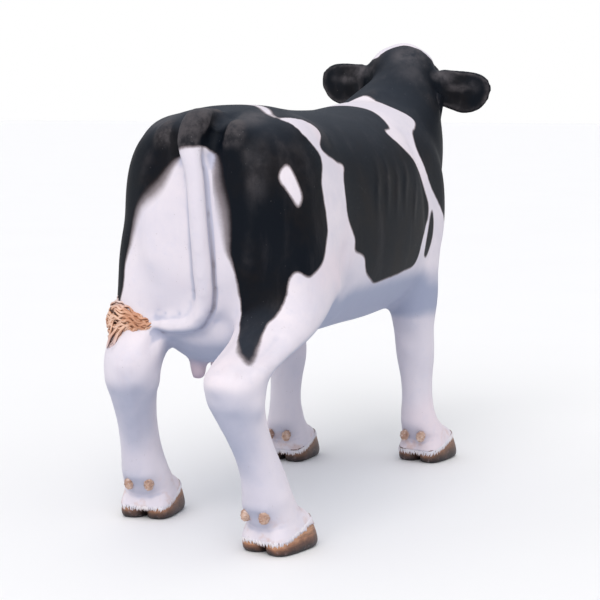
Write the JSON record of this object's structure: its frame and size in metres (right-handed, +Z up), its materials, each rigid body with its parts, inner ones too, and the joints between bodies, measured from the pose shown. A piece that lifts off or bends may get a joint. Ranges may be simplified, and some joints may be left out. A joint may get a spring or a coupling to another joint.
{
  "type": "cow statue",
  "caption": "Standing dairy cow statue in painted resin, feet staggered, head raised and turned, tail swung onto a hind leg.",
  "frame": {"origin": "middle of the bounding box, at the level of the soles", "axes": "+X towards the muzzle, +Y to the cow's left, +Z up"},
  "size_m": [1.4098, 0.4726, 0.9701],
  "materials": {
    "white_paint": "satin white paint on cast resin",
    "black_paint": "satin black paint on cast resin",
    "hoof_paint": "satin brown paint on cast resin",
    "switch_paint": "satin tan paint on cast resin",
    "teat_paint": "satin pink-grey paint on cast resin",
    "eye_paint": "gloss varnish over dark brown paint"
  },
  "bodies": {
    "root": {"trunk": "black_paint", "neck": "black_paint", "head": "black_paint", "ear_left": "black_paint", "ear_right": "black_paint", "eye_left": "eye_paint", "eye_right": "eye_paint", "hind_leg_left": "white_paint", "hind_leg_right": "white_paint", "fore_leg_left": "white_paint", "fore_leg_right": "white_paint", "udder": "white_paint", "tail": "white_paint", "tail_switch": "switch_paint", "teat_rear_left": "teat_paint", "teat_rear_right": "teat_paint", "teat_front_left": "teat_paint", "teat_front_right": "teat_paint", "hind_left_claw_inner": "hoof_paint", "hind_left_claw_outer": "hoof_paint", "hind_left_dewclaw_inner": "hoof_paint", "hind_left_dewclaw_outer": "hoof_paint", "hind_right_claw_inner": "hoof_paint", "hind_right_claw_outer": "hoof_paint", "hind_right_dewclaw_inner": "hoof_paint", "hind_right_dewclaw_outer": "hoof_paint", "fore_left_claw_inner": "hoof_paint", "fore_left_claw_outer": "hoof_paint", "fore_left_dewclaw_inner": "hoof_paint", "fore_left_dewclaw_outer": "hoof_paint", "fore_right_claw_inner": "hoof_paint", "fore_right_claw_outer": "hoof_paint", "fore_right_dewclaw_inner": "hoof_paint", "fore_right_dewclaw_outer": "hoof_paint"}
  },
  "joints": []
}
